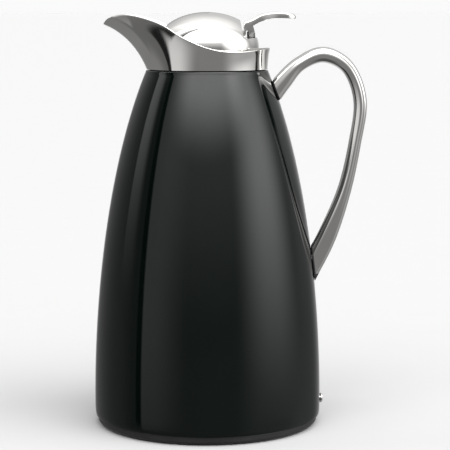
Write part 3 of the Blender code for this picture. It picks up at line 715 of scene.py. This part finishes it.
def thread_ridges(root, tip, start_z):
    """The ridges of a multi-start thread, each a trapezoid swept along its helix."""
    made = []
    half_root = THREAD_ROOT / 2
    half_tip = THREAD_CREST / 2
    section = soften([(root, -half_root), (tip, -half_tip), (tip, half_tip), (root, half_root)], 0.25)
    steps = 48
    for index in range(THREAD_STARTS):
        stations = []
        for step in range(steps + 1):
            turn = THREAD_TURNS * step / steps
            angle = math.tau * (turn + index / THREAD_STARTS)
            z = start_z + THREAD_LEAD * turn
            stations.append([(r * math.cos(angle), r * math.sin(angle), z + dz) for r, dz in section])
        made.append(sweep(f"ridge_{index}", stations))
    return made


def make_neck():
    low, high = box_mm("neck_sleeve")
    flange = high.z - SLEEVE_FLANGE_THICK
    profile = [(SLEEVE_R, low.z), (SLEEVE_R, flange), (SLEEVE_FLANGE_R, flange),
               (SLEEVE_FLANGE_R, high.z), (SLEEVE_BORE, high.z), (SLEEVE_BORE, low.z)]
    sleeve = lathe("sleeve", soften(profile, 0.3))
    join(sleeve, *thread_ridges(SLEEVE_BORE + THREAD_SINK, SLEEVE_THREAD_TIP, SLEEVE_THREAD_Z))
    stand_in(sleeve, "neck_sleeve", "black_plastic")


def make_stopper():
    """The threaded tube with its valve seat, the port tube on its flange, and the ports."""
    low, high = box_mm("stopper_body")
    flange = high.y
    flange_top = STOPPER_FLANGE_Z + 1.0
    bore = STOPPER_R - STOPPER_WALL
    profile = [(STOPPER_R, low.z), (STOPPER_R, STOPPER_FLANGE_Z), (flange, STOPPER_FLANGE_Z),
               (flange, flange_top), (PORT_TUBE_R, flange_top), (PORT_TUBE_R, high.z),
               (PORT_TUBE_BORE, high.z), (PORT_TUBE_BORE, STOPPER_FLANGE_Z),
               (bore, STOPPER_FLANGE_Z - 3.0), (bore, SEAT_Z), (SEAT_R, SEAT_Z), (SEAT_R, low.z)]
    stopper = lathe("stopper", soften(profile, 0.3))
    pitch_gap = (THREAD_ROOT + THREAD_CREST) / 2 + 0.35
    join(stopper, *thread_ridges(STOPPER_R - THREAD_SINK, STOPPER_THREAD_TIP,
                                 SLEEVE_THREAD_Z - pitch_gap))
    for index, angle in enumerate(POST_ANGLES):
        port = block(f"port_{index}", (10.0, -PORT_HALF_WIDTH, STOPPER_FLANGE_Z + 1.3),
                     (24.0, PORT_HALF_WIDTH, high.z - 1.0))
        port.rotation_euler = (0.0, 0.0, math.radians(angle + 60))
        cut(stopper, port)
    stand_in(shade_again(stopper), "stopper_body", "black_plastic")


def make_stopper_gasket():
    low, high = box_mm("stopper_gasket")
    gasket = ring("gasket", STOPPER_R + GAP, high.y, low.z, high.z, 0.35)
    stand_in(gasket, "stopper_gasket", "silicone")


def slab_section(x, half_width, low, high, top_radius, under_radius):
    """A ring of points across the lever: a slab with a round back and a crisp underside."""
    points = []
    for side, up, start, radius in ((-1, 1, 90, top_radius), (-1, -1, 180, under_radius),
                                    (1, -1, 270, under_radius), (1, 1, 0, top_radius)):
        centre = (side * (half_width - radius), high - radius if up > 0 else low + radius)
        points += [(x, y, z) for y, z in arc(centre, radius, start, start + 90, 8)]
    return points


def end_inset(distance, reach):
    """How far the slab draws in at this distance from its end, for a round end."""
    return reach * max(0.0, 1.0 - math.sqrt(max(0.0, distance) / reach))


def lever_tab(tip_x, top, under):
    """The lever's top and its thumb tab, from the stem to a tip blunter than a half circle."""
    centre = tip_x - TAB_HALF_WIDTH + 1.2
    steps = 80
    stations = []
    for step in range(steps + 1):
        x = STEM_FRONT + (tip_x - STEM_FRONT) * math.sin(math.pi / 2 * step / steps)
        t = min(1.0, max(0.0, (x - TAB_FLARE[0]) / TAB_FLARE[1]))
        wide = STEM_HALF_WIDTH + (TAB_HALF_WIDTH - STEM_HALF_WIDTH) * t * t * (3 - 2 * t)
        if x > centre:
            wide = min(wide, math.sqrt(TAB_HALF_WIDTH ** 2 - (x - centre) ** 2))
        inset = max(end_inset(tip_x - x, 0.45), end_inset(x - STEM_FRONT, 0.5))
        low, high = height_at(under, x) + inset, height_at(top, x) - inset
        thick = min(4.2, high - low)
        stations.append(slab_section(x, wide - inset, low, high, min(TAB_CROWN, 0.46 * thick),
                                     min(TAB_EDGE, 0.2 * thick)))
    return sweep("lever", stations)


def lever_foot():
    """The plate on the pin, with the window's edge in front, and the arm with its fork."""
    pivot_x, pivot_z = PIVOT
    arm_low, arm_high = ARM_Z
    cut_low, cut_high = CUT_Z
    slot_x, slot_y, slot_z = STEM_SLOT
    outline = [(20.2, 220.2), (24.9, 220.2), (25.4, 219.2), *arc(PIVOT, PIVOT_EAR_R, 10, -190, 24),
               *STEM_WINDOW, (ARM_FRONT, arm_low), (ARM_FRONT, arm_high), (20.2, 217.3)]
    foot = plate("foot", outline, -STEM_HALF_WIDTH, STEM_HALF_WIDTH)
    arm = [(16.6, arm_low), (16.6, arm_high), (FORK_R, arm_high),
           *arc((0.0, FORK_Z), FORK_R, 40, 320, 24), (FORK_R, 213.6), (9.0, 213.6), (12.0, arm_low)]
    fork = plate("fork", arm, -FORK_HALF_WIDTH, FORK_HALF_WIDTH)
    cut(fork, block("gap", (-6.0, -ROD_R - 0.6, cut_low), (5.0, ROD_R + 0.6, cut_high)))
    join(foot, fork)
    cut(foot, block("left", (10.0, ARM_HALF_WIDTH, cut_low), (STEM_FRONT, 9.0, cut_high)),
        block("right", (10.0, -9.0, cut_low), (STEM_FRONT, -ARM_HALF_WIDTH, cut_high)),
        block("stem_slot", (slot_x, -slot_y, cut_low), (30.0, slot_y, slot_z)),
        rod("bore", (pivot_x, -9, pivot_z), (pivot_x, 9, pivot_z), PIN_R + 0.08))
    return bevel(foot, 0.5, 4)


def make_lever():
    high = box_mm("thumb_lever")[1]
    top = smooth(((STEM_FRONT, 221.9), (24.9, 223.6), (30.4, 226.3), (38.0, high.z), (44.6, 226.9),
                  (high.x, 225.4)), 12)
    under = [(STEM_FRONT, 218.2), (24.6, 218.2)]
    under += smooth(((25.1, 219.6), (30.4, 222.3), (38.0, 223.9), (high.x, 223.5)), 12)
    lever = lever_tab(high.x, top, under)
    join(lever, lever_foot())
    slot_x, slot_y, slot_z = STEM_SLOT
    cut(lever, block("slot_top", (slot_x, -slot_y, 217.0), (30.0, slot_y, slot_z)))
    stand_in(shade_again(lever), "thumb_lever", "chrome")


def make_spring():
    """A coil of wire in the valve spring's place."""
    low, high = box_mm("valve_spring")
    climb = high.z - low.z - 2 * SPRING_WIRE
    sides, steps = 12, SPRING_TURNS * 40
    stations = []
    for step in range(steps + 1):
        t = step / steps
        angle = math.tau * SPRING_TURNS * t
        out = Vector((math.cos(angle), math.sin(angle), 0.0))
        centre = SPRING_R * out + Vector((0.0, 0.0, low.z + SPRING_WIRE + climb * t))
        stations.append([centre + SPRING_WIRE * (math.cos(a) * out + math.sin(a) * Vector((0, 0, 1)))
                         for a in (math.tau * k / sides for k in range(sides))])
    spring = stand_in(sweep("spring", stations), "valve_spring", "steel")
    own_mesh(spring)


# ---------------------------------------------------------------- materials

def link_in(tree, node, name, value):
    """Links a socket to a node's input, or sets a plain value on it."""
    if isinstance(value, bpy.types.NodeSocket):
        tree.links.new(value, node.inputs[name])
    else:
        node.inputs[name].default_value = value


def maths(tree, operation, *values):
    """The result of a Math node on sockets or plain values."""
    node = tree.nodes.new("ShaderNodeMath")
    node.operation = operation
    for index, value in enumerate(values):
        link_in(tree, node, index, value)
    return node.outputs[0]


def between(tree, value, start, end, low=0.0, high=1.0):
    """Goes smoothly from low to high as value goes from start to end."""
    node = tree.nodes.new("ShaderNodeMapRange")
    node.interpolation_type = "SMOOTHSTEP"
    link_in(tree, node, "Value", value)
    for name, given in (("From Min", start), ("From Max", end), ("To Min", low), ("To Max", high)):
        node.inputs[name].default_value = given
    return node.outputs["Result"]


def place(tree, stretch=(1.0, 1.0, 1.0)):
    """The object's own coordinates in millimetres, stretched along its axes."""
    where = tree.nodes.new("ShaderNodeTexCoord")
    mapping = tree.nodes.new("ShaderNodeMapping")
    mapping.inputs["Scale"].default_value = [1.0 / (MM * part) for part in stretch]
    tree.links.new(where.outputs["Object"], mapping.inputs["Vector"])
    return mapping.outputs["Vector"]


def noise(tree, size, detail=2.0, stretch=(1.0, 1.0, 1.0), roughness=0.5):
    """Soft noise whose blobs measure about size millimetres."""
    node = tree.nodes.new("ShaderNodeTexNoise")
    tree.links.new(place(tree, stretch), node.inputs["Vector"])
    node.inputs["Scale"].default_value = 1.0 / size
    node.inputs["Detail"].default_value = detail
    node.inputs["Roughness"].default_value = roughness
    return node.outputs["Fac"]


def cells(tree, size):
    """The distance to the nearest of scattered points about size millimetres apart."""
    node = tree.nodes.new("ShaderNodeTexVoronoi")
    tree.links.new(place(tree), node.inputs["Vector"])
    node.inputs["Scale"].default_value = 1.0 / size
    return node.outputs["Distance"]


def shade(tree, amount, dark, light):
    """A colour between dark and light."""
    node = tree.nodes.new("ShaderNodeMix")
    node.data_type = "RGBA"
    tree.links.new(amount, node.inputs["Factor"])
    colours = [socket for socket in node.inputs if socket.type == "RGBA"]
    colours[0].default_value = (*dark, 1.0)
    colours[1].default_value = (*light, 1.0)
    return [socket for socket in node.outputs if socket.type == "RGBA"][0]


def relief(tree, body, height, depth, strength=1.0, normal="Normal"):
    """Bumps the surface by height times depth, in millimetres."""
    node = tree.nodes.new("ShaderNodeBump")
    node.inputs["Strength"].default_value = strength
    node.inputs["Distance"].default_value = depth * MM
    tree.links.new(height, node.inputs["Height"])
    tree.links.new(node.outputs["Normal"], body.inputs[normal])


def surface(name, metallic=0.0):
    """A new material in LOOKS, as its node tree and its Principled node."""
    made = bpy.data.materials.new(name)
    made.use_nodes = True
    body = made.node_tree.nodes["Principled BSDF"]
    body.inputs["Metallic"].default_value = metallic
    LOOKS[name] = made
    return made.node_tree, body


def make_lacquer():
    """Gloss stoving lacquer: near-black with a green cast, fine flake below a clear coat."""
    tree, body = surface("dark_lacquer")
    body.inputs["Specular IOR Level"].default_value = 0.0
    body.inputs["Coat Weight"].default_value = 1.0
    body.inputs["Coat IOR"].default_value = 1.4
    body.inputs["Coat Roughness"].default_value = 0.03
    flake = between(tree, cells(tree, 0.35), 0.25, 0.05)
    cloud = noise(tree, 26.0)
    green = shade(tree, between(tree, cloud, 0.3, 0.7), (0.0006, 0.0018, 0.0014),
                  (0.0009, 0.0022, 0.0017))
    link_in(tree, body, "Base Color", green)
    link_in(tree, body, "Metallic", between(tree, flake, 0.0, 1.0, 0.0, 0.25))
    link_in(tree, body, "Roughness", between(tree, cloud, 0.3, 0.7, 0.42, 0.5))
    relief(tree, body, noise(tree, 3.2, 1.0), 0.004, 1.0, "Coat Normal")


def make_chrome():
    """Polished plate: faint waves, and a trace of smudges in its gloss."""
    tree, body = surface("chrome", 1.0)
    smudge = noise(tree, 14.0, 3.0)
    silver = shade(tree, between(tree, smudge, 0.3, 0.7), (0.80, 0.79, 0.77), (0.84, 0.83, 0.81))
    link_in(tree, body, "Base Color", silver)
    link_in(tree, body, "Roughness", between(tree, smudge, 0.35, 0.75, 0.045, 0.085))
    relief(tree, body, noise(tree, 9.0, 1.0), 0.006)


def make_steel():
    """Drawn or turned steel with a fine grain."""
    tree, body = surface("steel", 1.0)
    grain = noise(tree, 0.5, 3.0, (1.0, 1.0, 14.0))
    link_in(tree, body, "Base Color", shade(tree, grain, (0.50, 0.50, 0.49), (0.68, 0.68, 0.67)))
    link_in(tree, body, "Roughness", between(tree, grain, 0.2, 0.8, 0.22, 0.38))
    relief(tree, body, grain, 0.01, 0.6)


def make_brass():
    """Turned brass, a little tarnished."""
    tree, body = surface("brass", 1.0)
    tarnish = noise(tree, 1.6, 3.0)
    link_in(tree, body, "Base Color", shade(tree, tarnish, (0.58, 0.42, 0.18), (0.80, 0.62, 0.32)))
    link_in(tree, body, "Roughness", between(tree, tarnish, 0.2, 0.8, 0.2, 0.4))
    relief(tree, body, noise(tree, 0.4, 2.0, (8.0, 1.0, 1.0)), 0.01, 0.6)


def make_silvered_glass():
    """Silver seen through glass, with the cloudy streaks that the silvering leaves."""
    tree, body = surface("silvered_glass", 0.95)
    body.inputs["Coat Weight"].default_value = 0.6
    streak = noise(tree, 12.0, 4.0, (1.0, 1.0, 2.5))
    link_in(tree, body, "Base Color", shade(tree, streak, (0.66, 0.67, 0.69), (0.84, 0.85, 0.86)))
    link_in(tree, body, "Roughness", between(tree, streak, 0.25, 0.8, 0.05, 0.2))
    relief(tree, body, noise(tree, 18.0, 1.0), 0.05, 0.6)


def make_moulded(name, dark, light, gloss, grain_size, depth):
    """A moulded plastic or rubber with a fine texture from its tool."""
    tree, body = surface(name)
    body.inputs["Specular IOR Level"].default_value = 0.4
    grain = noise(tree, grain_size, 3.0)
    patch = noise(tree, 11.0)
    link_in(tree, body, "Base Color", shade(tree, patch, dark, light))
    link_in(tree, body, "Roughness", between(tree, patch, 0.25, 0.75, gloss - 0.06, gloss + 0.06))
    relief(tree, body, grain, depth, 0.7)


def make_looks():
    make_lacquer()
    make_chrome()
    make_steel()
    make_brass()
    make_silvered_glass()
    make_moulded("black_plastic", (0.010, 0.010, 0.010), (0.020, 0.020, 0.020), 0.42, 0.5, 0.03)
    make_moulded("rubber", (0.008, 0.008, 0.008), (0.016, 0.016, 0.016), 0.68, 0.8, 0.05)
    make_moulded("silicone", (0.055, 0.055, 0.055), (0.080, 0.080, 0.080), 0.5, 1.2, 0.02)


def dress_cad_nodes():
    """Gives each CAD node that stays in view the material of its slot."""
    for row in frame["record"]["subparts"]:
        obj = frame["nodes"][row["node"]]
        obj.data.materials.clear()
        obj.data.materials.append(LOOKS[row["material_slot"]])


# ---------------------------------------------------------------- stage

def make_floor():
    mesh = bmesh.new()
    bmesh.ops.create_grid(mesh, x_segments=1, y_segments=1, size=FLOOR_REACH)
    floor = to_object("floor", mesh)
    floor.location.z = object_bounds()[0][2]
    tree, body = surface("floor_paint")
    link_in(tree, body, "Base Color", shade(tree, noise(tree, 40.0, 3.0), FLOOR_SHADE, FLOOR_TINT))
    body.inputs["Roughness"].default_value = 0.8
    body.inputs["Specular IOR Level"].default_value = 0.1
    floor.data.materials.append(LOOKS.pop("floor_paint"))
    floor.visible_glossy = False


def span(tree, value, start, full, fade, end):
    """Rises from start to full and falls from fade to end."""
    return maths(tree, "MULTIPLY", between(tree, value, start, full), between(tree, value, end, fade))


def make_studio():
    """A studio all round, in degrees: a turn of 0 is the front and 90 the handle's side."""
    world = bpy.data.worlds.new("studio")
    bpy.context.scene.world = world
    world.use_nodes = True
    tree = world.node_tree
    direction = tree.nodes.new("ShaderNodeTexCoord").outputs["Generated"]
    parts = tree.nodes.new("ShaderNodeSeparateXYZ")
    tree.links.new(direction, parts.inputs[0])
    back = maths(tree, "MULTIPLY", parts.outputs["Y"], -1.0)
    turn = maths(tree, "DEGREES", maths(tree, "ARCTAN2", parts.outputs["X"], back))
    height = maths(tree, "DEGREES", maths(tree, "ARCSINE", parts.outputs["Z"]))
    total = maths(tree, "MULTIPLY", between(tree, height, *STUDIO_PIT), STUDIO_AMBIENT)
    for turns, heights, strength in STUDIO_LIGHTS:
        lit = maths(tree, "MULTIPLY", span(tree, turn, *turns), span(tree, height, *heights))
        total = maths(tree, "MULTIPLY_ADD", lit, strength, total)
    for turns, heights, depth in STUDIO_FLAGS:
        flag = maths(tree, "MULTIPLY", span(tree, turn, *turns), span(tree, height, *heights))
        total = maths(tree, "MULTIPLY", total, maths(tree, "MULTIPLY_ADD", flag, -depth, 1.0))
    rays = tree.nodes.new("ShaderNodeLightPath")
    backdrop = maths(tree, "MULTIPLY_ADD", rays.outputs["Is Camera Ray"],
                     maths(tree, "SUBTRACT", STUDIO_BACKDROP, total), total)
    tree.links.new(backdrop, tree.nodes["Background"].inputs["Strength"])
    tree.nodes["Background"].inputs["Color"].default_value = (1.0, 1.0, 1.0, 1.0)


def make_camera():
    data = bpy.data.cameras.new("camera")
    data.lens = CAMERA_LENS
    data.sensor_width = CAMERA_SENSOR
    camera = bpy.data.objects.new("camera", data)
    bpy.context.scene.collection.objects.link(camera)
    camera.location = Vector((CAMERA_SIDE, -CAMERA_AWAY, CAMERA_Z)) * MM
    camera.rotation_euler = (math.radians(90 - CAMERA_DOWN), 0.0, 0.0)
    bpy.context.scene.camera = camera


def main():
    make_looks()
    dress_cad_nodes()
    make_shell()
    make_collar()
    make_handle()
    make_base()
    make_base_screw()
    make_dome()
    make_neck()
    make_stopper()
    make_stopper_gasket()
    make_lever()
    make_spring()
    make_floor()
    make_studio()
    make_camera()
    bpy.context.scene.view_settings.view_transform = "Standard"


main()
bpy.context.view_layer.update()
